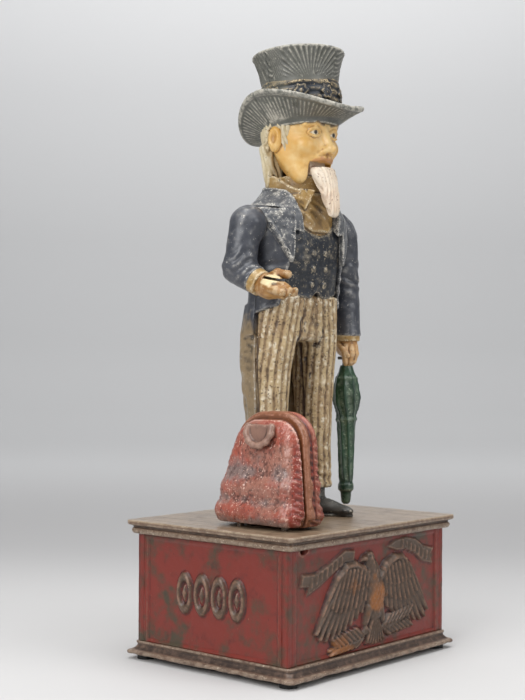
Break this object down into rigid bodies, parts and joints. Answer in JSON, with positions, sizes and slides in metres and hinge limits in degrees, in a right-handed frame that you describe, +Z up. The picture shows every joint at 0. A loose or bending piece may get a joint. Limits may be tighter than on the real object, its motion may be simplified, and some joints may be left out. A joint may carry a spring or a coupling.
{
  "type": "mechanical bank",
  "caption": "Cast-iron mechanical bank: a standing figure in a top hat and tailcoat drops a coin into a bag that tips open beside it, on a moulded box base with a trap.",
  "frame": {"origin": "middle of the base's footprint, on the table under the pads", "axes": "+Z up; -Y is the front, the way the figure faces; +X is the figure's left-hand side, where the umbrella hangs"},
  "size_m": [0.126, 0.101, 0.288],
  "materials": {
    "base_red": "worn gloss",
    "base_taupe": "worn satin",
    "coat_blue": "worn gloss",
    "beard_white": "worn satin",
    "umbrella_green": "worn gloss",
    "bag_red": "worn satin",
    "bare_iron": "dark",
    "steel": "dull",
    "pad_black": "matt"
  },
  "bodies": {
    "base": {"bottom_plate": "base_taupe", "base_pads": "pad_black", "front_panel": "base_red", "rear_panel": "base_red", "left_panel": "base_red", "right_panel": "base_red", "deck_plate": "base_taupe", "tie_bolts": "steel", "trap_rivet": "steel", "spring_seat": "steel", "return_spring": "steel", "lever_shaft": "steel", "bag_rear_half": "bag_red", "bag_hinge_pin": "steel", "bag_screws": "steel", "figure_front_casting": "coat_blue", "figure_rear_casting": "coat_blue", "figure_screws": "steel", "foot_screws": "steel", "jaw_pin": "steel", "umbrella": "umbrella_green", "umbrella_pin": "steel"},
    "trap": {"trap_cover": "bare_iron"},
    "push_knob": {"knob": "base_taupe", "stem_collar": "steel"},
    "lever": {"main_lever": "bare_iron"},
    "arm_push_rod": {"arm_rod": "steel"},
    "bag_push_link": {"bag_link": "steel"},
    "coin_arm": {"right_arm": "coat_blue", "arm_axle": "steel", "arm_crank": "bare_iron", "jaw_crank": "bare_iron"},
    "jaw_pull_link": {"jaw_link": "steel"},
    "jaw": {"lower_jaw": "beard_white"},
    "bag_door": {"bag_front_half": "bag_red"}
  },
  "joints": [
    {"name": "knob_press", "type": "slide", "parent": "base", "child": "push_knob", "axis": [0, 0, -1], "range_m": [0, 0.00657], "stiffness_N_per_m": 400, "deforming": ["return_spring"]},
    {"name": "lever_rock", "type": "hinge", "parent": "base", "child": "lever", "pos_m": [0, 0.015, 0.05], "axis": [-1, 0, 0], "range_deg": [0, 18]},
    {"name": "arm_rod_lift", "type": "slide", "parent": "base", "child": "arm_push_rod", "axis": [0, 0, 1], "range_m": [0, 0.00304]},
    {"name": "bag_link_lift", "type": "slide", "parent": "base", "child": "bag_push_link", "axis": [0, 0, 1], "range_m": [0, 0.00441]},
    {"name": "arm_swing", "type": "hinge", "parent": "base", "child": "coin_arm", "pos_m": [-0.017, 0.0005, 0.206], "axis": [1, 0, 0], "range_deg": [0, 35.01]},
    {"name": "jaw_link_drop", "type": "slide", "parent": "base", "child": "jaw_pull_link", "axis": [0, 0, -1], "range_m": [0, 0.00138]},
    {"name": "jaw_swing", "type": "hinge", "parent": "base", "child": "jaw", "pos_m": [0, -0.00973, 0.237], "axis": [-1, 0, 0], "range_deg": [0, 9.92]},
    {"name": "bag_open", "type": "hinge", "parent": "base", "child": "bag_door", "pos_m": [-0.0446, -0.015, 0.07], "axis": [0, -1, 0], "range_deg": [0, 18.8]},
    {"name": "trap_swivel", "type": "hinge", "parent": "base", "child": "trap", "pos_m": [-0.004, -0.034, 0.0015], "axis": [0, 0, -1], "range_deg": [0, 90]}
  ],
  "couplings": [
    {"joint": "lever_rock", "follows": "knob_press", "rad_per_m": 47.815},
    {"joint": "arm_rod_lift", "follows": "knob_press", "ratio": 0.46225},
    {"joint": "bag_link_lift", "follows": "knob_press", "ratio": 0.67109},
    {"joint": "arm_swing", "follows": "knob_press", "rad_per_m": 92.974},
    {"joint": "jaw_link_drop", "follows": "knob_press", "ratio": 0.21053},
    {"joint": "jaw_swing", "follows": "knob_press", "rad_per_m": 26.349},
    {"joint": "bag_open", "follows": "knob_press", "rad_per_m": 49.934}
  ]
}
